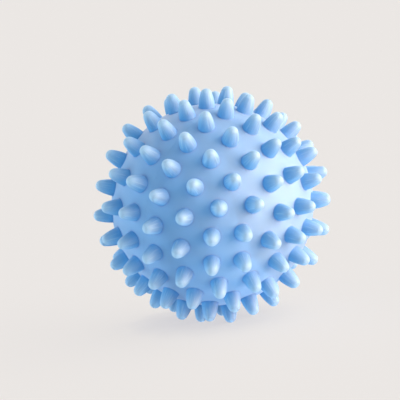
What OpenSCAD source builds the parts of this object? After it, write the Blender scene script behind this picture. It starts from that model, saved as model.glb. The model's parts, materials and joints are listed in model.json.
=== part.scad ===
// Hollow spiky sensory ball, 7 cm across over its spikes.
// Two half shells meet at a seam. Spikes stand on them in rows round one axis, which runs from the
// nose, in the middle of the front half, to the air valve in the middle of the rear half.
// The ball stands on three spikes on the plane z = 0, with its centre above the origin.

/* [Shell] */
// Diameter of the ball without its spikes
body_d = 59.2; // [50:0.2:80]
// Thickness of the wall
wall = 2.4; // [1.6:0.1:4]

/* [Spikes] */
// Height of a spike above the ball
spike_h = 5.4; // [3.5:0.1:8]
// Diameter of a spike at its foot
spike_base_d = 4.9; // [4:0.1:6.4]
// Radius of a spike's round tip
spike_tip_r = 1.7; // [0.8:0.1:2]
// Radius of the arc along a spike's side
spike_side_r = 16; // [10:0.5:40]

/* [Rows] */
// Spikes in each row of a half, from the nose to the seam
row_counts = [6, 12, 17, 19, 22]; // [4:1:24]
// Turn of each row about the axis, in degrees
row_turns = [12, 2.5, 19.5, 9.5, 9.5]; // [0:0.5:60]

/* [Seam] */
// Width of the flat land on which the halves meet
land_w = 1.2; // [0.8:0.1:1.6]
// Height of the tongue on the front half
tongue_h = 2; // [1:0.1:3]
// How far the tongue's band reaches up inside the front half
band_h = 3; // [1:0.1:5]
// How far the tongue's band stands in from the wall
band_t = 0.5; // [0.3:0.1:1.5]

/* [Valve] */
// Diameter of the bore at its mouth
bore_mouth_d = 5.2; // [4:0.1:6]
// Diameter of the bore at its inner end
bore_end_d = 4.4; // [3:0.1:5]
// Diameter of the sleeve and of the neck
sleeve_d = 8.4; // [7.6:0.1:10]
// Length of the sleeve inwards from the wall
sleeve_l = 11; // [8:0.5:16]
// Diameter of the flange inside the wall
flange_d = 18; // [14:0.5:24]
// Thickness of the flange
flange_t = 1.6; // [1:0.1:3]
// Diameter of the stopper's head
head_d = 11; // [9.6:0.1:14]
// Thickness of the stopper's head
head_t = 2; // [1.6:0.1:2.6]
// How far the stopper's shank ends short of the sleeve
shank_short = 1; // [0.5:0.1:3]
// Sealing grooves round the shank
groove_count = 3; // [1:1:5]
// Depth of a sealing groove
groove_t = 0.3; // [0.1:0.05:0.5]
// Width of the nail notch beside the head
notch_d = 5; // [3:0.1:7]
// How far the notch's floor lies above the head's underside
notch_lift = 0.5; // [0.2:0.1:1.2]

/* [Fits] */
// Gap for the bond between pieces that are joined for good
bond_gap = 0.05; // [0.02:0.01:0.1]
// Gap between the stopper and its seat
stopper_gap = 0.05; // [0.02:0.01:0.1]
// Gap round the stopper's head
head_gap = 0.5; // [0.3:0.1:1]

/* [Rest] */
// Angle from the nose to the lowest point of the ball
rest_polar = 75; // [30:1:110]
// Heading of the lowest point about the axis
rest_heading = 279.5; // [0:0.5:360]
// Direction in which the nose points, seen from above
nose_heading = -41.7; // [-180:0.1:180]

/* [Hidden] */
$fn = 64;
// A short stretch of a wide arc needs a finer circle
side_fn = 4 * $fn;
shell_blue = [0.55, 0.75, 0.95];
spike_blue = [0.5, 0.71, 0.93];
seat_blue = [0.42, 0.62, 0.86];
stopper_blue = [0.62, 0.8, 0.97];

// Radii of the wall
body_r = body_d / 2;
inner_r = body_r - wall;
// How far a cutting shape runs past what it cuts
past = 1;

// A spike stands on a flat of its own size on the ball
spike_base_r = spike_base_d / 2;
seat_r = sqrt(body_r ^ 2 - spike_base_r ^ 2);
spike_top = body_r + spike_h - seat_r;
// The side is an arc that starts at the edge of the foot and runs smoothly into the round tip
tip_z = spike_top - spike_tip_r;
side_reach = spike_side_r - spike_tip_r;
side_lift = (spike_side_r ^ 2 - spike_base_r ^ 2 - side_reach ^ 2 + tip_z ^ 2) / (2 * tip_z);
side_lean = spike_base_r / tip_z;
side_square = 1 + side_lean ^ 2;
side_linear = 2 * side_lean * (tip_z - side_lift);
side_constant = (tip_z - side_lift) ^ 2 - side_reach ^ 2;
side_root = sqrt(side_linear ^ 2 - 4 * side_square * side_constant);
side_x = (side_root - side_linear) / (2 * side_square);
side_z = side_lift - side_lean * side_x;
join_z = tip_z + spike_tip_r * (tip_z - side_z) / side_reach;

// Rows lie evenly from the nose to the seam, which is half a row away from the last one
row_total = len(row_counts);
row_pitch = 90 / (row_total + 0.5);
// The rear half's first row: the cap inside it is plain, for the valve
first_rear_row = 3;

// Tongue round the seam
tongue_out = body_r - land_w;
tongue_in = inner_r - band_t;

// Levels of the valve, up from the ball's centre
flange_r = flange_d / 2;
pad_margin = 1;
pad_r = flange_r + pad_margin;
pad_z = sqrt(inner_r ^ 2 - pad_r ^ 2);
recess_z = body_r - head_t;
recess_r = head_d / 2 + head_gap;
neck_top = recess_z - stopper_gap;
sleeve_z = pad_z - sleeve_l;
shank_z = sleeve_z + shank_short;
head_z = recess_z + stopper_gap;
groove_w = 2 * groove_t;
groove_step = (pad_z - shank_z) / (groove_count + 1);
notch_z = recess_z + notch_lift;

// Direction at an angle from the nose and a turn about the axis
function direction(polar, turn) = [sin(polar) * cos(turn), sin(polar) * sin(turn), cos(polar)];
function row_polar(row) = row * row_pitch;
function row_turn(row, i) = row_turns[row - 1] + i * 360 / row_counts[row - 1];
function row_directions(row) = [
    for (i = [0 : row_counts[row - 1] - 1]) direction(row_polar(row), row_turn(row, i))
];
function turned_over(v) = [-v.x, v.y, -v.z];
function unit(v) = v / norm(v);
function outward(v, point) = v * point < 0 ? -v : v;

// Every spike's direction, and those near the lowest point
front_directions = concat([[0, 0, 1]], [for (row = [1 : row_total]) each row_directions(row)]);
rear_directions = [
    for (row = [first_rear_row : row_total]) for (v = row_directions(row)) turned_over(v)
];
lowest = direction(rest_polar, rest_heading);
near_angle = 30;
near = [for (v = concat(front_directions, rear_directions)) if (v * lowest > cos(near_angle)) v];

// The ball stands on the three tips whose plane lies under all the others, round the lowest point.
// Each entry holds where that plane crosses the line down, its normal and its distance.
level_slack = 0.000001;
stands = [
    for (i = [0 : len(near) - 3], j = [i + 1 : len(near) - 2], k = [j + 1 : len(near) - 1])
        let (n = outward(unit(cross(near[j] - near[i], near[k] - near[i])), near[i]), d = n * near[i])
            if (max([for (v = near) n * v]) < d + level_slack && n * lowest > 0) [d / (n * lowest), n, d]
];
stand_reach = min([for (s = stands) s[0]]);
stand = [for (s = stands) if (s[0] == stand_reach) s][0];
up = -stand[1];
centre_z = (body_r + spike_h - spike_tip_r) * stand[2] + spike_tip_r;
// The nose's own direction, laid level
nose = [0, 0, 1];
ahead = unit(nose - (nose * up) * up);
aside = cross(up, ahead);
rest_matrix = [
    [ahead.x, ahead.y, ahead.z, 0],
    [aside.x, aside.y, aside.z, 0],
    [up.x, up.y, up.z, centre_z],
    [0, 0, 0, 1]
];

// Places a half's own frame, with its middle on top, in the ball at rest
module in_front() {
    rotate([0, 0, nose_heading]) multmatrix(rest_matrix) children();
}

module in_rear() {
    in_front() rotate([0, 180, 0]) children();
}

// Stands a child on the ball's flat at an angle from the middle and a turn about the axis
module on_flat(polar, turn) {
    rotate([0, polar, turn]) translate([0, 0, seat_r]) children();
}

module on_row(row) {
    for (i = [0 : row_counts[row - 1] - 1]) on_flat(row_polar(row), row_turn(row, i)) children();
}

module spike() {
    rotate_extrude() {
        intersection() {
            translate([-side_x, side_z]) circle(spike_side_r, $fn = side_fn);
            square([spike_base_r + past, join_z]);
        }
        intersection() {
            translate([0, tip_z]) circle(spike_tip_r);
            translate([0, join_z]) square([spike_tip_r, spike_top]);
        }
    }
}

// What is cut off the ball to make a spike's flat
module flat_cut() {
    cylinder(r = spike_base_r + past, h = body_r - seat_r + past);
}

module quarter_disc(r) {
    intersection() {
        circle(r);
        square(r + past);
    }
}

module front_shell() {
    color(shell_blue) in_front() difference() {
        rotate_extrude() {
            difference() {
                quarter_disc(body_r);
                circle(inner_r);
            }
            translate([tongue_in, -tongue_h]) square([tongue_out - tongue_in, tongue_h + band_h]);
        }
        on_flat(0, 0) flat_cut();
        for (row = [1 : row_total]) on_row(row) flat_cut();
    }
}

module rear_shell() {
    color(shell_blue) in_rear() difference() {
        rotate_extrude() difference() {
            quarter_disc(body_r);
            // Air chamber, up to the flat pad for the valve's flange
            intersection() {
                circle(inner_r);
                square([inner_r, pad_z]);
            }
            // Rebate for the tongue
            square([tongue_out + bond_gap, tongue_h + bond_gap]);
            // Recess for the stopper's head, and the hole for the neck
            translate([0, recess_z]) square([recess_r, head_t + past]);
            square([sleeve_d / 2 + bond_gap, body_r]);
        }
        // Nail notch
        translate([recess_r, 0, notch_z]) cylinder(d = notch_d, h = head_t + past);
        for (row = [first_rear_row : row_total]) on_row(row) flat_cut();
    }
}

module front_row(row) {
    color(spike_blue) in_front() on_row(row) spike();
}

module rear_row(row) {
    color(spike_blue) in_rear() on_row(row) spike();
}

module nose_spike() {
    color(spike_blue) in_front() on_flat(0, 0) spike();
}

module front_spikes_1() { front_row(1); }
module front_spikes_2() { front_row(2); }
module front_spikes_3() { front_row(3); }
module front_spikes_4() { front_row(4); }
module front_spikes_5() { front_row(5); }
module rear_spikes_3() { rear_row(3); }
module rear_spikes_4() { rear_row(4); }
module rear_spikes_5() { rear_row(5); }

// Radius of the tapered bore at a level
function bore_r(z) =
    (bore_end_d + (bore_mouth_d - bore_end_d) * (z - sleeve_z) / (neck_top - sleeve_z)) / 2;

// Tapered plug from one level to another, a gap smaller than the bore
module plug(low, high, gap) {
    translate([0, 0, low]) cylinder(r1 = bore_r(low) - gap, r2 = bore_r(high) - gap, h = high - low);
}

module sealing_groove(z) {
    translate([0, 0, z - groove_w / 2]) difference() {
        cylinder(d = bore_mouth_d, h = groove_w);
        translate([0, 0, -past])
            cylinder(r = bore_r(z) - stopper_gap - groove_t, h = groove_w + 2 * past);
    }
}

module valve_seat() {
    color(seat_blue) in_rear() difference() {
        union() {
            translate([0, 0, sleeve_z]) cylinder(d = sleeve_d, h = neck_top - sleeve_z);
            translate([0, 0, pad_z - flange_t]) cylinder(r = flange_r, h = flange_t);
        }
        plug(sleeve_z - past, neck_top + past, 0);
    }
}

module valve_stopper() {
    color(stopper_blue) in_rear() {
        // Head, flush with the ball
        intersection() {
            translate([0, 0, head_z]) cylinder(d = head_d, h = head_t);
            sphere(body_r);
        }
        // Tapered shank with sealing grooves
        difference() {
            plug(shank_z, head_z, stopper_gap);
            for (i = [1 : groove_count]) sealing_groove(shank_z + i * groove_step);
        }
    }
}

front_shell();
rear_shell();
nose_spike();
front_spikes_1();
front_spikes_2();
front_spikes_3();
front_spikes_4();
front_spikes_5();
rear_spikes_3();
rear_spikes_4();
rear_spikes_5();
valve_seat();
valve_stopper();
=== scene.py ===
"""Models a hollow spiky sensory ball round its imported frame, with its stage, light and camera."""

import json
import math

import bmesh
import bpy
from bpy.props import (
    FloatProperty,
    FloatVectorProperty,
    IntProperty,
    IntVectorProperty,
    PointerProperty,
)
from mathutils import Matrix, Vector
from mathutils.geometry import delaunay_2d_cdt
from mathutils.kdtree import KDTree


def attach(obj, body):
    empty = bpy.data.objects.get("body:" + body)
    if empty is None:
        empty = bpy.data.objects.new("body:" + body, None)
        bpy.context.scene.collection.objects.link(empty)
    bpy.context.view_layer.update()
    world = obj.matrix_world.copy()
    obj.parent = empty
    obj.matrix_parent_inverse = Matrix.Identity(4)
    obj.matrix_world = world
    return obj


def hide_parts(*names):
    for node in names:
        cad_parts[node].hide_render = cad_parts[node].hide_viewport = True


bl_info = {
    "name": "Sensory Ball",
    "version": (1, 0, 0),
    "blender": (4, 5, 0),
    "location": "3D View > Sidebar > Sensory Ball",
    "description": "Models a hollow spiky sensory ball with an air stopper",
    "category": "Mesh",
}

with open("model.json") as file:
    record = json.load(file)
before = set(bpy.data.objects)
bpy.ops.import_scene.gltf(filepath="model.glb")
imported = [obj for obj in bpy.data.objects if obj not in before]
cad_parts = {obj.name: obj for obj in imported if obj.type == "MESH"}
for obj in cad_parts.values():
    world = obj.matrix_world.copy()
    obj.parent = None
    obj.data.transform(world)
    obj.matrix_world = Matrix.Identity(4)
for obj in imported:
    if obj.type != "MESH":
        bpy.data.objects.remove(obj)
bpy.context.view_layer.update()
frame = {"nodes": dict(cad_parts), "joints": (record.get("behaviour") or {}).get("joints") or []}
STOPPER_PULL = frame["joints"][0]

FULL_TURN = 2 * math.pi
UP = Vector((0, 0, 1))


def mm(length):
    return length / 1000


# What a user would change


def length_property(name, description, default_mm):
    return FloatProperty(
        name=name,
        description=description,
        default=mm(default_mm),
        min=0,
        precision=5,
        unit="LENGTH",
    )


def colour_property(name, description, default):
    return FloatVectorProperty(
        name=name, description=description, default=default, min=0, max=1, subtype="COLOR"
    )


class BallSizes(bpy.types.PropertyGroup):
    """Sizes of the half shells and their spikes"""

    body_radius: length_property("Body radius", "Radius of the ball without its spikes", 29.6)
    wall: length_property("Wall", "Thickness of the half shells", 2.4)
    centre_height: length_property(
        "Centre height", "Height of the ball's centre over the floor", 34.4399
    )
    front_right: FloatVectorProperty(
        name="Front half's right",
        description="Direction from which the turns of the front half's rows are counted",
        default=(0.624195, 0.764832, -0.159417),
        subtype="XYZ",
    )
    spike_height: length_property("Spike height", "Height of a spike over the ball", 5.4)
    spike_foot: length_property("Spike foot", "Radius of a spike at its foot", 2.45)
    spike_tip: length_property("Spike tip", "Radius of a spike's round tip", 1.7)
    spike_side: length_property("Spike side", "Radius of the arc along a spike's side", 16)
    foot_fillet: length_property("Foot fillet", "Radius of the hollow round a spike's foot", 0.12)
    # Width of the painted shade round a spike's foot, at whose edge the spike's outline puts a ring
    # of points
    crease_shade: length_property("Crease", "Width of the deeper blue round a spike's foot", 0.6)
    row_counts: IntVectorProperty(
        name="Row counts",
        description="Spikes in each row of a half, from its middle to the seam",
        default=(6, 12, 17, 19, 22),
        size=5,
    )
    row_turns: FloatVectorProperty(
        name="Row turns",
        description="Turn of each row about the ball's axis, in radians",
        default=[math.radians(turn) for turn in (12, 2.5, 19.5, 9.5, 9.5)],
        size=5,
    )
    first_rear_row: IntProperty(
        name="First rear row", description="Row at which the rear half's spikes start", default=3
    )
    land: length_property("Land", "Width of the land on which the halves meet", 1.2)
    tongue_height: length_property("Tongue height", "Height of the tongue on the front half", 2)
    band_height: length_property("Band height", "How far the tongue's band reaches inside", 3)
    band: length_property("Band", "How far the tongue's band stands in from the wall", 0.5)
    bond: length_property("Bond", "Gap for the bond between the halves", 0.05)
    seam_round: length_property("Seam rounding", "Rounding of the edges along the seam", 0.03)


class ValveSizes(bpy.types.PropertyGroup):
    """Sizes of the air valve in the middle of the rear half, with levels from the ball's centre"""

    recess_radius: length_property("Recess radius", "Radius of the recess for the head", 6)
    recess_level: length_property(
        "Recess level", "Floor of the recess, from the ball's centre", 27.6
    )
    recess_lip: length_property("Recess lip", "Rounding of the recess's edge", 0.35)
    neck_hole: length_property("Neck hole", "Radius of the hole for the seat's neck", 4.25)
    pad_radius: length_property("Pad radius", "Radius of the flat pad under the flange", 10)
    pad_level: length_property("Pad level", "Level of the pad, from the ball's centre", 25.2951)
    notch_level: length_property("Notch level", "Lowest point of the nail notch", 28.1)
    notch_scoop: length_property("Notch scoop", "Radius of the nail notch's hollow", 5.2)
    notch_reach: length_property(
        "Notch reach", "Distance over which the nail notch runs out", 3.6
    )
    head_radius: length_property("Head radius", "Radius of the stopper's head", 5.5)
    head_level: length_property("Head level", "Underside of the stopper's head", 27.65)
    head_round: length_property("Head rounding", "Rounding of the head's edges", 0.3)
    shank_level: length_property("Shank level", "Inner end of the stopper's shank", 15.2951)
    shank_end: length_property("Shank end", "Radius of the shank at its inner end", 2.18)
    shank_root: length_property("Shank root", "Radius of the shank under the head", 2.553)
    groove_depth: length_property("Groove depth", "Depth of the shank's sealing grooves", 0.3)
    groove_width: length_property("Groove width", "Width of the shank's sealing grooves", 0.6)
    groove_step: length_property("Groove step", "Distance between the sealing grooves", 2.5)
    groove_count: IntProperty(
        name="Grooves", description="Sealing grooves round the shank", default=3
    )


class BallColours(bpy.types.PropertyGroup):
    """Colours of the soft pieces and of the stage"""

    body: colour_property("Body", "Light blue of the half shells", (0.073, 0.368, 0.775))
    flanks: colour_property("Flanks", "Deeper blue of the spikes' sides", (0.07, 0.375, 0.77))
    # Painted light: a paler blue painted up towards each spike's end
    lit_tips: colour_property("Tips", "Paler blue of the spikes' tips", (0.355, 0.648, 0.95))
    # Painted shade: a deeper blue painted in the hollow round each spike's foot
    crease_shade_colour: colour_property("Creases", "Deep blue round the spikes' feet", (0.04, 0.25, 0.66))
    seat: colour_property("Seat", "Blue of the valve seat", (0.12, 0.34, 0.72))
    stopper: colour_property("Stopper", "Blue of the air stopper", (0.2, 0.45, 0.82))
    floor: colour_property("Floor", "Pale warm grey of the floor", (0.823, 0.791, 0.768))


class BallSettings(bpy.types.PropertyGroup):
    """All that a user would change"""

    ball: PointerProperty(type=BallSizes)
    valve: PointerProperty(type=ValveSizes)
    colours: PointerProperty(type=BallColours)


# Outlines, as points of radius and level

# How far beside the axis a spike's outline ends, as a slope: a fan of faces closes the tip
CROWN_SLOPE = 0.2
# Roundings of the recess's foot, of the neck hole's edge and of the shank's inner end
RECESS_FOOT_ROUND = mm(0.2)
NECK_EDGE_ROUND = mm(0.1)
SHANK_END_ROUND = mm(0.6)
# Height of the straight root of the shank under the head
ROOT_HEIGHT = mm(0.3)
# The head's upper edge and the start of its crown, as shares of the head's rounding
UPPER_EDGE_ROUND = 0.8
CROWN_START = 1.2
# Dimple in the middle of the head
DIMPLE_DEPTH = mm(0.22)
DIMPLE_RADIUS = mm(1.6)
# Steps over half a sealing groove, and from the head's edge to its middle
GROOVE_STEPS = 5
CROWN_STEPS = 14


def meeting_point(a, radius_a, b, radius_b, side):
    """Where two circles cross: left of the way from a to b for side 1, right of it for -1."""
    a, b = Vector(a), Vector(b)
    way = b - a
    along = (way.length_squared + radius_a**2 - radius_b**2) / (2 * way.length)
    across = math.sqrt(radius_a**2 - along**2)
    way.normalize()
    return a + along * way + side * across * Vector((-way.y, way.x))


def arc(centre, start, end, steps):
    """Points on the shorter arc round centre from start to end, without start itself."""
    centre, start, end = Vector(centre), Vector(start), Vector(end)
    spoke = start - centre
    bow = spoke.angle_signed(end - centre)
    points = []
    for i in range(1, steps + 1):
        angle = math.atan2(spoke.y, spoke.x) - bow * i / steps
        points.append(centre + spoke.length * Vector((math.cos(angle), math.sin(angle))))
    return points


def rounded_corner(before, corner, after, radius, steps):
    """Points of the arc that rounds a corner between two straight lines."""
    before, corner, after = Vector(before), Vector(corner), Vector(after)
    back, ahead = (before - corner).normalized(), (after - corner).normalized()
    half = back.angle(ahead) / 2
    start = corner + back * radius / math.tan(half)
    end = corner + ahead * radius / math.tan(half)
    centre = corner + (back + ahead).normalized() * radius / math.sin(half)
    return [start] + arc(centre, start, end, steps)


def polar_angle(point):
    """Angle between the axis and a point of an outline, seen from the ball's centre."""
    return math.atan2(point.x, point.y)


def spike_outline(ball):
    """A spike's side, from a ring on the ball round its foot to near its tip."""
    body = ball.body_radius
    foot = Vector((ball.spike_foot, math.sqrt(body**2 - ball.spike_foot**2)))
    tip = Vector((0, body + ball.spike_height - ball.spike_tip))
    side = meeting_point(foot, ball.spike_side, tip, ball.spike_side - ball.spike_tip, 1)
    hollow = meeting_point(
        (0, 0), body + ball.foot_fillet, side, ball.spike_side + ball.foot_fillet, -1
    )
    on_ball = hollow.normalized() * body
    # The first ring lies at the outer edge of the painted shade round the foot
    around = polar_angle(on_ball) + ball.crease_shade / body
    ring = Vector((math.sin(around), math.cos(around))) * body
    on_side = side + (hollow - side).normalized() * ball.spike_side
    join = tip + (tip - side).normalized() * ball.spike_tip
    crown = tip + Vector((CROWN_SLOPE, 1)).normalized() * ball.spike_tip
    return (
        [ring, on_ball]
        + arc(hollow, on_ball, on_side, steps=3)
        + arc(side, on_side, join, steps=7)
        + arc(tip, join, crown, steps=5)
    )


def seam_edge(ball):
    """The rounded edge of a half along the seam, from its skin to its land."""
    edge = math.sqrt(ball.body_radius**2 - ball.seam_round**2)
    return [Vector((edge, ball.seam_round)), Vector((edge - ball.seam_round, 0))]


def front_lining_outline(ball):
    """The front half from the seam over its tongue and along its inside to the middle."""
    inner = ball.body_radius - ball.wall
    tongue_out, tongue_in = ball.body_radius - ball.land, inner - ball.band
    band = Vector((math.sqrt(inner**2 - ball.band_height**2), ball.band_height))
    return (
        seam_edge(ball)
        + [
            Vector((tongue_out, 0)),
            Vector((tongue_out, -ball.tongue_height)),
            Vector((tongue_in, -ball.tongue_height)),
            Vector((tongue_in, ball.band_height)),
            band,
        ]
        + arc((0, 0), band, (0, inner), steps=24)
    )


def rear_lining_outline(ball, valve):
    """The rear half from the seam over its rebate and along its inside to the neck hole."""
    inner = ball.body_radius - ball.wall
    rebate = ball.tongue_height + ball.bond
    rebate_out = ball.body_radius - ball.land + ball.bond
    wall = Vector((math.sqrt(inner**2 - rebate**2), rebate))
    return (
        seam_edge(ball)
        + [Vector((rebate_out, 0)), Vector((rebate_out, rebate)), wall]
        + arc((0, 0), wall, (valve.pad_radius, valve.pad_level), steps=20)
        + [Vector((valve.neck_hole, valve.pad_level))]
    )


def recess_outline(ball, valve):
    """The recess from its lip on the ball to its floor and through the neck hole to the pad."""
    body, lip = ball.body_radius, valve.recess_lip
    inside = valve.recess_radius + lip
    level = math.sqrt((body - lip) ** 2 - inside**2)
    centre = Vector((inside, level))
    on_ball = centre.normalized() * body
    on_wall = Vector((valve.recess_radius, level))
    foot = Vector((valve.recess_radius, valve.recess_level))
    edge = Vector((valve.neck_hole, valve.recess_level))
    end = Vector((valve.neck_hole, valve.pad_level))
    return (
        [on_ball]
        + arc(centre, on_ball, on_wall, steps=5)
        + rounded_corner(on_wall, foot, edge, RECESS_FOOT_ROUND, steps=3)
        + rounded_corner(foot, edge, end, NECK_EDGE_ROUND, steps=2)
        + [end]
    )


def groove_points(valve, middle):
    """A sealing groove in the tapered shank, round a level."""
    taper = (valve.shank_root - valve.shank_end) / (valve.head_level - valve.shank_level)
    half = valve.groove_width / 2
    points = []
    for step in range(-GROOVE_STEPS, GROOVE_STEPS + 1):
        level = middle + half * step / GROOVE_STEPS
        shank = valve.shank_end + (level - valve.shank_level) * taper
        dip = (1 + math.cos(math.pi * step / GROOVE_STEPS)) / 2 * valve.groove_depth
        points.append(Vector((shank - dip, level)))
    return points


def stopper_outline(ball, valve):
    """The stopper from its inner end's middle, up the shank and round the head to the crown."""
    body, rim, under = ball.body_radius, valve.head_radius, valve.head_level
    start = Vector((0, valve.shank_level))
    end = Vector((valve.shank_end, valve.shank_level))
    outline = [start]
    outline += rounded_corner(start, end, (valve.shank_end, under), SHANK_END_ROUND, steps=5)
    for i in range(1, valve.groove_count + 1):
        outline += groove_points(valve, valve.shank_level + i * valve.groove_step)
    root = Vector((valve.shank_root, under))
    outline += [root - Vector((0, ROOT_HEIGHT)), root]
    outline += rounded_corner(root, (rim, under), (rim, body), valve.head_round, steps=4)
    shoulder = Vector((rim, math.sqrt(body**2 - rim**2)))
    inside = rim - valve.head_round
    inner = Vector((inside, math.sqrt(body**2 - inside**2)))
    upper_round = valve.head_round * UPPER_EDGE_ROUND
    outline += rounded_corner((rim, under), shoulder, inner, upper_round, steps=5)
    for step in range(1, CROWN_STEPS + 1):
        radius = (rim - valve.head_round * CROWN_START) * (1 - step / CROWN_STEPS)
        dimple = DIMPLE_DEPTH * max(0, 1 - (radius / DIMPLE_RADIUS) ** 2) ** 2
        outline.append(Vector((radius, math.sqrt(body**2 - radius**2) - dimple)))
    return outline


# Modelling

# Vertices closer than this are one
MERGE = 1e-6
# Faces that meet at less than this angle are shaded as one surface
SMOOTH_ANGLE = math.radians(40)
# Sides of a spike, of the seam and the recess, and of the stopper
SPIKE_SIDES = 28
SEAM_SIDES = 144
STOPPER_SIDES = 96
# Distance between the skin's points, in the open and round the valve
SKIN_STEP = mm(1.1)
FINE_STEP = mm(0.32)
# How far from the valve that distance grows by 1
STEP_GROWTH = 4
# Distance between the skin's rows of points, as a share of that in a row, for even triangles
ROW_STEP = 0.866
NET_PRECISION = 1e-9
# An axis with a longer upright part than this points straight up
UPRIGHT = 0.999999
# Depth over which the nail notch's edge is rounded
NOTCH_SOFTNESS = mm(0.12)
# How far apart the streaks of two spikes lie in the noise, and how far they change up a spike
STREAK_APART = 3.7
STREAK_CHANGE = 0.2


def activate(piece):
    bpy.ops.object.select_all(action="DESELECT")
    piece.select_set(True)
    bpy.context.view_layer.objects.active = piece


def new_piece(name, points, edges, faces):
    mesh = bpy.data.meshes.new(name)
    mesh.from_pydata(points, edges, faces)
    piece = bpy.data.objects.new(name, mesh)
    bpy.context.scene.collection.objects.link(piece)
    activate(piece)
    return piece


def select_faces(piece, corners):
    """Selects the faces that have this many corners."""
    bpy.ops.mesh.select_mode(type="FACE")
    bpy.ops.mesh.select_all(action="DESELECT")
    mesh = bmesh.from_edit_mesh(piece.data)
    for face in mesh.faces:
        if len(face.verts) == corners:
            face.select_set(True)
    bmesh.update_edit_mesh(piece.data)


def raise_faces(outline, sides):
    """Insets the selected many-sided faces step by step along an outline of radius and level."""
    flat = math.cos(math.pi / sides)
    for here, there in zip(outline, outline[1:]):
        bpy.ops.mesh.inset(
            use_individual=True, thickness=(here.x - there.x) * flat, depth=there.y - here.y
        )


def merge_and_turn_outwards():
    """Merges the double points of the piece in edit mode and turns its faces outwards."""
    bpy.ops.mesh.select_all(action="SELECT")
    bpy.ops.mesh.remove_doubles(threshold=MERGE)
    bpy.ops.mesh.normals_make_consistent(inside=False)


def lathe(name, outline, sides):
    """A piece spun from an outline of radius and level round the z axis."""
    points = [(point.x, 0, point.y) for point in outline]
    piece = new_piece(name, points, [(i, i + 1) for i in range(len(points) - 1)], [])
    bpy.ops.object.mode_set(mode="EDIT")
    bpy.ops.mesh.select_all(action="SELECT")
    bpy.ops.mesh.spin(steps=sides, angle=FULL_TURN, center=(0, 0, 0), axis=UP)
    merge_and_turn_outwards()
    bpy.ops.object.mode_set(mode="OBJECT")
    return piece


def settle(piece, placement):
    """Puts a finished piece in its place, with the place in its mesh."""
    activate(piece)
    piece.matrix_world = placement
    bpy.ops.object.transform_apply(location=True, rotation=True, scale=True)
    bpy.ops.object.shade_smooth_by_angle(angle=SMOOTH_ANGLE)


def direction(polar, turn):
    return Vector(
        (math.sin(polar) * math.cos(turn), math.sin(polar) * math.sin(turn), math.cos(polar))
    )


def row_directions(ball, rows):
    """Directions of the spikes in these rows of a half, whose middle points up."""
    # The seam lies half a pitch beyond the last row
    pitch = math.pi / 2 / (len(ball.row_counts) + 0.5)
    found = []
    for row in rows:
        count = ball.row_counts[row - 1]
        for i in range(count):
            found.append(direction(row * pitch, ball.row_turns[row - 1] + i * FULL_TURN / count))
    return found


def half_placement(ball, rear):
    """Matrix that takes a half, modelled with its middle on top, to its place in the ball."""
    valve = Vector(STOPPER_PULL["axis"]).normalized()
    right = Vector(ball.front_right).normalized()
    middle = valve if rear else -valve
    right = -right if rear else right
    axes = Matrix((right, middle.cross(right), middle)).transposed().to_4x4()
    return Matrix.Translation((0, 0, ball.centre_height)) @ axes


def ring_points(axis, polar, sides):
    """Points round an axis at an angle from it, on a ball of radius 1."""
    right = axis.orthogonal().normalized()
    if abs(axis.z) > UPRIGHT:
        right = Vector((1, 0, 0))
    ahead = axis.cross(right)
    points = []
    for i in range(sides):
        turn = FULL_TURN * i / sides
        spoke = right * math.cos(turn) + ahead * math.sin(turn)
        points.append(axis * math.cos(polar) + spoke * math.sin(polar))
    return points


def spike_tree(spikes):
    """A tree that finds the spike nearest to a direction."""
    tree = KDTree(len(spikes))
    for i, spike in enumerate(spikes):
        tree.insert(spike, i)
    tree.balance()
    return tree


def skin_step(ball, polar, fine_polar):
    """Distance between the skin's points at an angle from the half's middle."""
    if not fine_polar:
        return SKIN_STEP
    beyond = max(0, polar - fine_polar) * ball.body_radius
    return min(SKIN_STEP, FINE_STEP + beyond / STEP_GROWTH)


def half_skin(name, ball, spikes, foot_polar, opening_polar=0, fine_polar=0):
    """The outside of a half as one net, with a many-sided face for each spike and for the valve."""
    seam_polar = math.acos(ball.seam_round / ball.body_radius)
    loops = [ring_points(UP, seam_polar, SEAM_SIDES)]
    if opening_polar:
        loops.append(ring_points(UP, opening_polar, SEAM_SIDES))
    loops += [ring_points(spike, foot_polar, SPIKE_SIDES) for spike in spikes]

    # A point's owner is its loop, or a number of its own where it lies between the loops
    points, edges, owner = [], [], []
    for i, loop in enumerate(loops):
        first = len(points)
        points += loop
        owner += [i] * len(loop)
        edges += [(first + k, first + (k + 1) % len(loop)) for k in range(len(loop))]

    feet = spike_tree(spikes)
    polar = opening_polar
    row = 0
    while True:
        step = skin_step(ball, polar, fine_polar) / ball.body_radius
        polar += step * ROW_STEP
        if polar > seam_polar - step / 2:
            break
        row += 1
        count = max(3, round(FULL_TURN * math.sin(polar) / step))
        for i in range(count):
            point = direction(polar, FULL_TURN * (i + row % 2 / 2) / count)
            _, _, distance = feet.find(point)
            if distance > 2 * math.sin(foot_polar / 2) + step / 2:
                points.append(point)
                owner.append(-len(points))

    # Seen from the far end of the ball, circles stay circles, so the net is drawn flat
    flat = [Vector((point.x, point.y)) / (1 + point.z) for point in points]
    _, _, net, origins, _, _ = delaunay_2d_cdt(flat, edges, [], 0, NET_PRECISION)
    renamed = [origin[0] for origin in origins]
    faces = []
    for triangle in net:
        corners = [renamed[k] for k in triangle]
        owners = {owner[k] for k in corners}
        # A triangle with one owner lies in a loop, which gets one face, or along the seam
        if len(owners) > 1 or owners == {0}:
            faces.append(corners)
    first = SEAM_SIDES
    for loop in loops[1:]:
        faces.append(list(range(first, first + len(loop))))
        first += len(loop)
    return new_piece(name, [point * ball.body_radius for point in points], [], faces)


def raise_spikes(skin, ball, outline):
    """Raises a spike on each face that was kept for one."""
    top = ball.body_radius + ball.spike_height
    bpy.ops.object.mode_set(mode="EDIT")
    select_faces(skin, SPIKE_SIDES)
    raise_faces(outline, SPIKE_SIDES)
    bpy.ops.mesh.poke(offset=top - outline[-1].y)
    bpy.ops.object.mode_set(mode="OBJECT")


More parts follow.
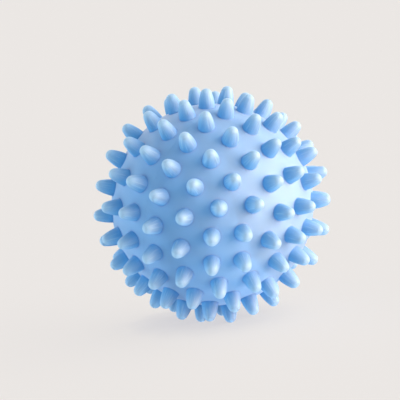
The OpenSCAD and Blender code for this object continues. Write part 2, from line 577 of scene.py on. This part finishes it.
def sink_recess(skin, recess):
    """Sinks the recess and the neck hole into the many-sided face over the valve."""
    bpy.ops.object.mode_set(mode="EDIT")
    select_faces(skin, SEAM_SIDES)
    raise_faces(recess, SEAM_SIDES)
    bpy.ops.mesh.delete(type="ONLY_FACE")
    bpy.ops.object.mode_set(mode="OBJECT")


def press_notch(skin, valve):
    """Presses the nail notch into the recess's edge."""
    for vertex in skin.data.vertices:
        place = vertex.co
        away = math.hypot(place.x - valve.recess_radius, place.y)
        if place.z > valve.notch_level and away < valve.notch_reach:
            scoop = valve.notch_level + away**2 / (2 * valve.notch_scoop)
            # The lower of skin and scoop, with a smooth way from one to the other
            near = max(0, NOTCH_SOFTNESS - abs(place.z - scoop)) / NOTCH_SOFTNESS
            vertex.co.z = min(place.z, scoop) - near**2 * NOTCH_SOFTNESS / 4


def mark_spikes(piece, ball, spikes):
    """Stores for each point how far up a spike it lies, how much painted shade it gets near its
    foot, and where round it.
    """
    foot_polar = polar_angle(spike_outline(ball)[1])
    tree = spike_tree(spikes)
    rise, crease_shade, streak = [], [], []
    for vertex in piece.data.vertices:
        place = vertex.co
        _, index, _ = tree.find(place.normalized())
        axis = spikes[index]
        away = place - axis * place.dot(axis)
        right = axis.orthogonal().normalized()
        turn = math.atan2(away.dot(axis.cross(right)), away.dot(right))
        height = max(0, place.length - ball.body_radius)
        beside = max(0, axis.angle(place) - foot_polar) * ball.body_radius
        rise.append(min(1, height / ball.spike_height))
        # Painted shade round the foot: full at the foot, none a shade width away along the ball or
        # up the spike
        crease_shade.append(max(0, 1 - (beside + height) / ball.crease_shade))
        streak += [math.cos(turn), math.sin(turn)]
        streak.append(index * STREAK_APART + rise[-1] * STREAK_CHANGE)
    for name, kind, key, values in (
        ("rise", "FLOAT", "value", rise),
        ("crease_shade", "FLOAT", "value", crease_shade),
        ("streak", "FLOAT_VECTOR", "vector", streak),
    ):
        piece.data.attributes.new(name, kind, "POINT").data.foreach_set(key, values)


def finish_half(name, skin, lining, ball, spikes, rear):
    """Joins a half's outside to its inside, smooths it and puts it in its place."""
    activate(skin)
    lining.select_set(True)
    bpy.ops.object.join()
    bpy.ops.object.mode_set(mode="EDIT")
    merge_and_turn_outwards()
    bpy.ops.object.mode_set(mode="OBJECT")
    mark_spikes(skin, ball, spikes)
    settle(skin, half_placement(ball, rear))
    skin.name = name
    return skin


# Materials

# The rubber's patterns, each as the scale and the detail of a noise
CLOUDS = (60, 3.0)
SPECKS = (900, 2.0)
UNEVENNESS = (420, 2.0)
GRAIN = (3200, 1.0)
STREAKS = (4.5, 3.0)
# Shades between which the clouds take the colour
CLOUD_SHADES = (0.95, 1.05)
# The rubber's roughness, and how much the clouds and the specks add to it
ROUGHNESS = 0.7
CLOUD_ROUGHNESS = 0.1
SPECK_ROUGHNESS = 0.06
SHEEN_ROUGHNESS = 0.8
REFRACTION = 1.5
# How far each pattern stands out in the bump
UNEVEN_HEIGHT = 0.3
GRAIN_HEIGHT = 0.12
STREAK_HEIGHT = 0.25
BUMP_STRENGTH = 0.25
BUMP_DISTANCE = mm(0.08)
# Noise between whose values a painted highlight streak comes up, and how far up a spike the streaks
# do
STREAK_EDGES = (0.52, 0.72)
STREAK_RISE = (0.04, 0.4)
# How strongly the painted highlight streaks show, and how much paler than the spike-end colour they
# are
STREAK_HIGHLIGHT_SHARE = 0.32
STREAK_HIGHLIGHT_SHADE = 1.2
# How the painted light grows up a spike towards its end, and how the painted shade falls off round
# its foot
TIP_LIGHT_POWER = 2
CREASE_SHADE_SHARE = 0.7
CREASE_SHADE_POWER = 1.5
# Gloss and sheen of the valve's pieces
VALVE_GLOSS = 0.5
VALVE_SHEEN = 0.1
# A face whose corners together rise more than this belongs to a spike
SPIKE_RISE = 1e-4


class Wire:
    """A value in a finish, on which Python's operators add Math nodes."""

    def __init__(self, finish, socket):
        self.finish = finish
        self.socket = socket

    def math(self, operation, *values):
        return self.finish.add(
            "ShaderNodeMath", {"operation": operation}, dict(enumerate(values))
        )

    def __add__(self, other):
        return self.math("ADD", self, other)

    __radd__ = __add__

    def __mul__(self, other):
        return self.math("MULTIPLY", self, other)

    __rmul__ = __mul__

    def __pow__(self, other):
        return self.math("POWER", self, other)


class Finish:
    """The nodes of a material or of the world, under construction."""

    def __init__(self, owner):
        owner.use_nodes = True
        self.nodes = owner.node_tree.nodes
        self.links = owner.node_tree.links
        self.nodes.clear()

    def add(self, kind, settings=None, inputs=None, output=0):
        """Adds a node with its settings, then its sockets' values and links; returns one output."""
        node = self.nodes.new(kind)
        for key, value in (settings or {}).items():
            setattr(node, key, value)
        for key, value in (inputs or {}).items():
            if isinstance(value, Wire):
                self.links.new(value.socket, node.inputs[key])
            else:
                node.inputs[key].default_value = value
        return Wire(self, node.outputs[output]) if node.outputs else None

    def mix(self, factor, a, b):
        """A colour from a to b."""
        return self.add(
            "ShaderNodeMix", {"data_type": "RGBA"}, {0: factor, 6: a, 7: b}, output=2
        )

    def ramp(self, value, low, high):
        """0 below low and 1 above high, with a smooth way between them."""
        return self.add(
            "ShaderNodeMapRange",
            {"interpolation_type": "SMOOTHSTEP"},
            {"Value": value, "From Min": low, "From Max": high},
        )

    def noise(self, vector, scale, detail):
        return self.add(
            "ShaderNodeTexNoise", {}, {"Vector": vector, "Scale": scale, "Detail": detail}
        )

    def attribute(self, name, output="Fac"):
        return self.add("ShaderNodeAttribute", {"attribute_name": name}, output=output)

    def seen(self):
        """1 for what the camera sees, directly or in a gloss, and 0 for light on other surfaces."""
        direct, glossy, through = [
            self.add("ShaderNodeLightPath", output=f"Is {kind} Ray")
            for kind in ("Camera", "Glossy", "Transmission")
        ]
        return direct.math("MAXIMUM", direct.math("MAXIMUM", direct, glossy), through)


def opaque(colour):
    return (*colour, 1)


def shade(colour, factor):
    return opaque([min(1, channel * factor) for channel in colour])


def soft_rubber(name, colour, gloss, sheen, crease_shade_colour=None, lit_tips=None):
    """Soft matte rubber, cloudy and finely grained, with painted shade round spike feet, painted
    light up the spikes and painted highlight streaks.
    """
    material = bpy.data.materials.new(name)
    finish = Finish(material)
    place = finish.add("ShaderNodeTexCoord", output="Object")
    cloud = finish.noise(place, *CLOUDS)
    speck = finish.noise(place, *SPECKS)
    dark, pale = CLOUD_SHADES
    base = finish.mix(cloud, shade(colour, dark), shade(colour, pale))
    roughness = ROUGHNESS + CLOUD_ROUGHNESS * cloud + SPECK_ROUGHNESS * speck
    uneven = finish.noise(place, *UNEVENNESS)
    height = UNEVEN_HEIGHT * uneven + GRAIN_HEIGHT * finish.noise(place, *GRAIN)
    # Painted light: the colour grows paler up each spike. Painted highlight streaks run along the
    # spikes, and the streaks also stand out a little in the bump
    if lit_tips:
        rise = finish.attribute("rise")
        pattern = finish.noise(finish.attribute("streak", "Vector"), *STREAKS)
        streak = finish.ramp(pattern, *STREAK_EDGES)
        along = finish.ramp(rise, *STREAK_RISE)
        base = finish.mix(rise**TIP_LIGHT_POWER, base, opaque(lit_tips))
        base = finish.mix(STREAK_HIGHLIGHT_SHARE * streak * along, base, shade(lit_tips, STREAK_HIGHLIGHT_SHADE))
        height = height + STREAK_HEIGHT * streak * along
    # Painted shade in the hollow round each spike's foot
    if crease_shade_colour:
        crease_shade = CREASE_SHADE_SHARE * finish.attribute("crease_shade") ** CREASE_SHADE_POWER
        base = finish.mix(crease_shade, base, opaque(crease_shade_colour))
    bump = finish.add(
        "ShaderNodeBump",
        {},
        {"Strength": BUMP_STRENGTH, "Distance": BUMP_DISTANCE, "Height": height},
    )
    surface = finish.add(
        "ShaderNodeBsdfPrincipled",
        {},
        {
            "Base Color": base,
            "Roughness": roughness,
            "Normal": bump,
            "IOR": REFRACTION,
            "Specular IOR Level": gloss,
            "Sheen Weight": sheen,
            "Sheen Roughness": SHEEN_ROUGHNESS,
        },
    )
    finish.add("ShaderNodeOutputMaterial", {}, {"Surface": surface})
    return material


def dress(piece, *materials):
    piece.data.materials.clear()
    for material in materials:
        piece.data.materials.append(material)


def dress_half(piece, colours):
    """Gives a half one finish on the ball and another on its spikes, which both halves share."""
    made = bpy.data.materials
    on_ball = made.get("ball_rubber") or soft_rubber(
        "ball_rubber", colours.body, gloss=1.0, sheen=0.38, crease_shade_colour=colours.crease_shade_colour
    )
    on_spikes = made.get("spike_rubber") or soft_rubber(
        "spike_rubber",
        colours.flanks,
        gloss=0.92,
        sheen=0.03,
        crease_shade_colour=colours.crease_shade_colour,
        lit_tips=colours.lit_tips,
    )
    dress(piece, on_ball, on_spikes)
    rise = piece.data.attributes["rise"].data
    for face in piece.data.polygons:
        if sum(rise[corner].value for corner in face.vertices) > SPIKE_RISE:
            face.material_index = 1


# Stage

FLOOR_RADIUS = 8
FLOOR_SIDES = 96
# How much of the floor that the camera sees is its plain colour, whatever light falls on it,
# and how bright that is
PLAIN_FLOOR = 0.87
PLAIN_STRENGTH = 1.05
# Painted shadow round what stands on the floor: how far and to which side the floor looks for a
# piece that dims its plain colour, and how much of the colour then stays
CONTACT_REACH = mm(15)
CONTACT_SIDE = (0.74, -0.6, 0.3)
CONTACT_SHADOW_SHADE = (0.66, 0.69, 0.79)
# Strength of the even light from all sides
WORLD_FILL = 0.16
# Lamps, each with its degrees to the right of the front and up, its width in degrees, its strength
# and whether it shows as gloss alone
LAMPS = (
    ("front_light", -12, -10, 80, 0.5, False),
    ("low_light", 28, -40, 90, 2.9, False),
    ("right_light", 85, 8, 80, 0.7, False),
    ("back_right_light", 133, 2, 80, 1.0, False),
    ("upper_right_light", 95, 45, 90, 1.75, False),
    ("left_light", -76, -5, 80, 2.0, False),
    ("right_panel", 71, 10, 62, 28.5, True),
    ("back_left_panel", -155, 32, 50, 3, True),
)
LAMP_COLOUR = (1, 1, 1)
PANEL_COLOUR = (1, 0.93, 0.86)
# The camera's place: up from the level, roll and distance from the ball's centre
CAMERA_RISE = math.radians(7.98)
CAMERA_ROLL = math.radians(4.77)
CAMERA_DISTANCE = 0.614
# Its lens and sensor in millimetres, how far its frame is shifted, and the distances it sees
CAMERA_LENS = 188.37
CAMERA_SENSOR = 36
CAMERA_SHIFT = (-0.0312, 0.01158)
CAMERA_CLIP = (0.01, 50)


def lay_floor(colour):
    """A plain floor with a painted shadow round what stands on it, that lets light from below
    through.
    """
    bpy.ops.object.select_all(action="DESELECT")
    bpy.ops.mesh.primitive_circle_add(
        vertices=FLOOR_SIDES, radius=FLOOR_RADIUS, fill_type="NGON"
    )
    floor = bpy.context.object
    floor.name = "floor"
    material = bpy.data.materials.new("pale_floor")
    finish = Finish(material)
    lit = finish.add("ShaderNodeBsdfDiffuse", {}, {"Color": opaque(colour)})
    # Painted shadow: ambient occlusion towards one side dims the plain colour near what stands on
    # the floor
    side = finish.add("ShaderNodeCombineXYZ", {}, dict(enumerate(CONTACT_SIDE)))
    open_share = finish.add(
        "ShaderNodeAmbientOcclusion", {}, {"Distance": CONTACT_REACH, "Normal": side}, output="AO"
    )
    shadowed_colour = [channel * stays for channel, stays in zip(colour, CONTACT_SHADOW_SHADE)]
    shown = finish.mix(open_share, opaque(shadowed_colour), opaque(colour))
    plain = finish.add("ShaderNodeEmission", {}, {"Color": shown, "Strength": PLAIN_STRENGTH})
    share = PLAIN_FLOOR * finish.seen()
    surface = finish.add("ShaderNodeMixShader", {}, {0: share, 1: lit, 2: plain})
    finish.add("ShaderNodeOutputMaterial", {}, {"Surface": surface})
    dress(floor, material)
    floor.visible_shadow = False


def fill_world(scene, colour):
    """Weak even light, with the floor's colour as the background that is seen."""
    world = scene.world or bpy.data.worlds.new("studio")
    scene.world = world
    finish = Finish(world)
    fill = finish.add(
        "ShaderNodeBackground", {}, {"Color": opaque(LAMP_COLOUR), "Strength": WORLD_FILL}
    )
    plain = finish.add("ShaderNodeBackground", {}, {"Color": opaque(colour), "Strength": 1})
    surface = finish.add("ShaderNodeMixShader", {}, {0: finish.seen(), 1: fill, 2: plain})
    finish.add("ShaderNodeOutputWorld", {}, {"Surface": surface})


def hang_lights():
    """Soft lamps all round, some from below the floor, and two panels that show as gloss alone."""
    for name, azimuth, elevation, width, strength, gloss_alone in LAMPS:
        bpy.ops.object.light_add(type="SUN")
        lamp = bpy.context.object
        lamp.name = name
        lamp.visible_diffuse = not gloss_alone
        lamp.data.energy = strength
        lamp.data.angle = math.radians(width)
        lamp.data.color = PANEL_COLOUR if gloss_alone else LAMP_COLOUR
        turn, rise = math.radians(azimuth), math.radians(elevation)
        towards = Vector(
            (math.sin(turn) * math.cos(rise), -math.cos(turn) * math.cos(rise), math.sin(rise))
        )
        lamp.matrix_world = towards.to_track_quat("Z", "Y").to_matrix().to_4x4()


def set_camera(scene, ball):
    bpy.ops.object.camera_add()
    camera = bpy.context.object
    camera.name = "photo_camera"
    back = Vector((0, -math.cos(CAMERA_RISE), math.sin(CAMERA_RISE)))
    level = Vector((1, 0, 0))
    upright = back.cross(level)
    right = level * math.cos(CAMERA_ROLL) - upright * math.sin(CAMERA_ROLL)
    up = level * math.sin(CAMERA_ROLL) + upright * math.cos(CAMERA_ROLL)
    axes = Matrix((right, up, back)).transposed().to_4x4()
    place = Vector((0, 0, ball.centre_height)) + back * CAMERA_DISTANCE
    camera.matrix_world = Matrix.Translation(place) @ axes
    camera.data.sensor_width = CAMERA_SENSOR
    camera.data.lens = CAMERA_LENS
    camera.data.shift_x, camera.data.shift_y = CAMERA_SHIFT
    camera.data.clip_start, camera.data.clip_end = CAMERA_CLIP
    scene.camera = camera


# Operators


class SENSORY_BALL_OT_front_half(bpy.types.Operator):
    """Model the front half shell with its spikes"""

    bl_idname = "sensory_ball.front_half"
    bl_label = "Front Half"
    bl_options = {"REGISTER", "UNDO"}

    def execute(self, context):
        settings = context.scene.sensory_ball
        ball = settings.ball
        spikes = [UP] + row_directions(ball, range(1, len(ball.row_counts) + 1))
        outline = spike_outline(ball)
        skin = half_skin("front_skin", ball, spikes, polar_angle(outline[0]))
        raise_spikes(skin, ball, outline)
        lining = lathe("front_lining", front_lining_outline(ball), SEAM_SIDES)
        piece = finish_half("front_half", skin, lining, ball, spikes, rear=False)
        dress_half(piece, settings.colours)
        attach(piece, "ball")
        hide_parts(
            "front_shell", "nose_spike", *[f"front_spikes_{row}" for row in (1, 2, 3, 4, 5)]
        )
        return {"FINISHED"}


class SENSORY_BALL_OT_rear_half(bpy.types.Operator):
    """Model the rear half shell with its spikes, the recess for the stopper and the nail notch"""

    bl_idname = "sensory_ball.rear_half"
    bl_label = "Rear Half"
    bl_options = {"REGISTER", "UNDO"}

    def execute(self, context):
        settings = context.scene.sensory_ball
        ball, valve = settings.ball, settings.valve
        spikes = row_directions(ball, range(ball.first_rear_row, len(ball.row_counts) + 1))
        outline = spike_outline(ball)
        recess = recess_outline(ball, valve)
        skin = half_skin(
            "rear_skin",
            ball,
            spikes,
            polar_angle(outline[0]),
            opening_polar=polar_angle(recess[0]),
            fine_polar=math.asin((valve.recess_radius + valve.notch_reach) / ball.body_radius),
        )
        raise_spikes(skin, ball, outline)
        sink_recess(skin, recess)
        press_notch(skin, valve)
        lining = lathe("rear_lining", rear_lining_outline(ball, valve), SEAM_SIDES)
        piece = finish_half("rear_half", skin, lining, ball, spikes, rear=True)
        dress_half(piece, settings.colours)
        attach(piece, "ball")
        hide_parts("rear_shell", *[f"rear_spikes_{row}" for row in (3, 4, 5)])
        return {"FINISHED"}


class SENSORY_BALL_OT_valve_seat(bpy.types.Operator):
    """Give the valve seat its finish"""

    bl_idname = "sensory_ball.valve_seat"
    bl_label = "Valve Seat"
    bl_options = {"REGISTER", "UNDO"}

    def execute(self, context):
        colour = context.scene.sensory_ball.colours.seat
        rubber = soft_rubber("seat_rubber", colour, VALVE_GLOSS, VALVE_SHEEN)
        dress(frame["nodes"]["valve_seat"], rubber)
        return {"FINISHED"}


class SENSORY_BALL_OT_stopper(bpy.types.Operator):
    """Model the push-in air stopper"""

    bl_idname = "sensory_ball.stopper"
    bl_label = "Air Stopper"
    bl_options = {"REGISTER", "UNDO"}

    def execute(self, context):
        settings = context.scene.sensory_ball
        ball, valve = settings.ball, settings.valve
        piece = lathe("air_stopper", stopper_outline(ball, valve), STOPPER_SIDES)
        settle(piece, half_placement(ball, rear=True))
        colour = settings.colours.stopper
        dress(piece, soft_rubber("stopper_rubber", colour, VALVE_GLOSS, VALVE_SHEEN))
        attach(piece, "stopper")
        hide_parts("valve_stopper")
        return {"FINISHED"}


class SENSORY_BALL_OT_stage(bpy.types.Operator):
    """Set up the floor, the light and the camera"""

    bl_idname = "sensory_ball.stage"
    bl_label = "Stage"
    bl_options = {"REGISTER", "UNDO"}

    def execute(self, context):
        settings = context.scene.sensory_ball
        lay_floor(settings.colours.floor)
        fill_world(context.scene, settings.colours.floor)
        hang_lights()
        set_camera(context.scene, settings.ball)
        context.scene.view_settings.view_transform = "Standard"
        return {"FINISHED"}


class SENSORY_BALL_PT_panel(bpy.types.Panel):
    """Lists the ball's pieces, sizes and colours in the sidebar"""

    bl_label = "Sensory Ball"
    bl_idname = "SENSORY_BALL_PT_panel"
    bl_space_type = "VIEW_3D"
    bl_region_type = "UI"
    bl_category = "Sensory Ball"

    def draw(self, context):
        settings = context.scene.sensory_ball
        for operator in OPERATORS:
            self.layout.operator(operator.bl_idname)
        for group in (settings.ball, settings.valve, settings.colours):
            box = self.layout.box()
            for name in group.bl_rna.properties.keys():
                if name not in ("rna_type", "name"):
                    box.prop(group, name)


OPERATORS = (
    SENSORY_BALL_OT_front_half,
    SENSORY_BALL_OT_rear_half,
    SENSORY_BALL_OT_valve_seat,
    SENSORY_BALL_OT_stopper,
    SENSORY_BALL_OT_stage,
)
CLASSES = (BallSizes, ValveSizes, BallColours, BallSettings, *OPERATORS, SENSORY_BALL_PT_panel)


def register():
    for made in CLASSES:
        bpy.utils.register_class(made)
    bpy.types.Scene.sensory_ball = PointerProperty(type=BallSettings)


def unregister():
    del bpy.types.Scene.sensory_ball
    for made in reversed(CLASSES):
        bpy.utils.unregister_class(made)


def main():
    register()
    bpy.ops.sensory_ball.front_half()
    bpy.ops.sensory_ball.rear_half()
    bpy.ops.sensory_ball.valve_seat()
    bpy.ops.sensory_ball.stopper()
    bpy.ops.sensory_ball.stage()


if __name__ == "__main__":
    main()
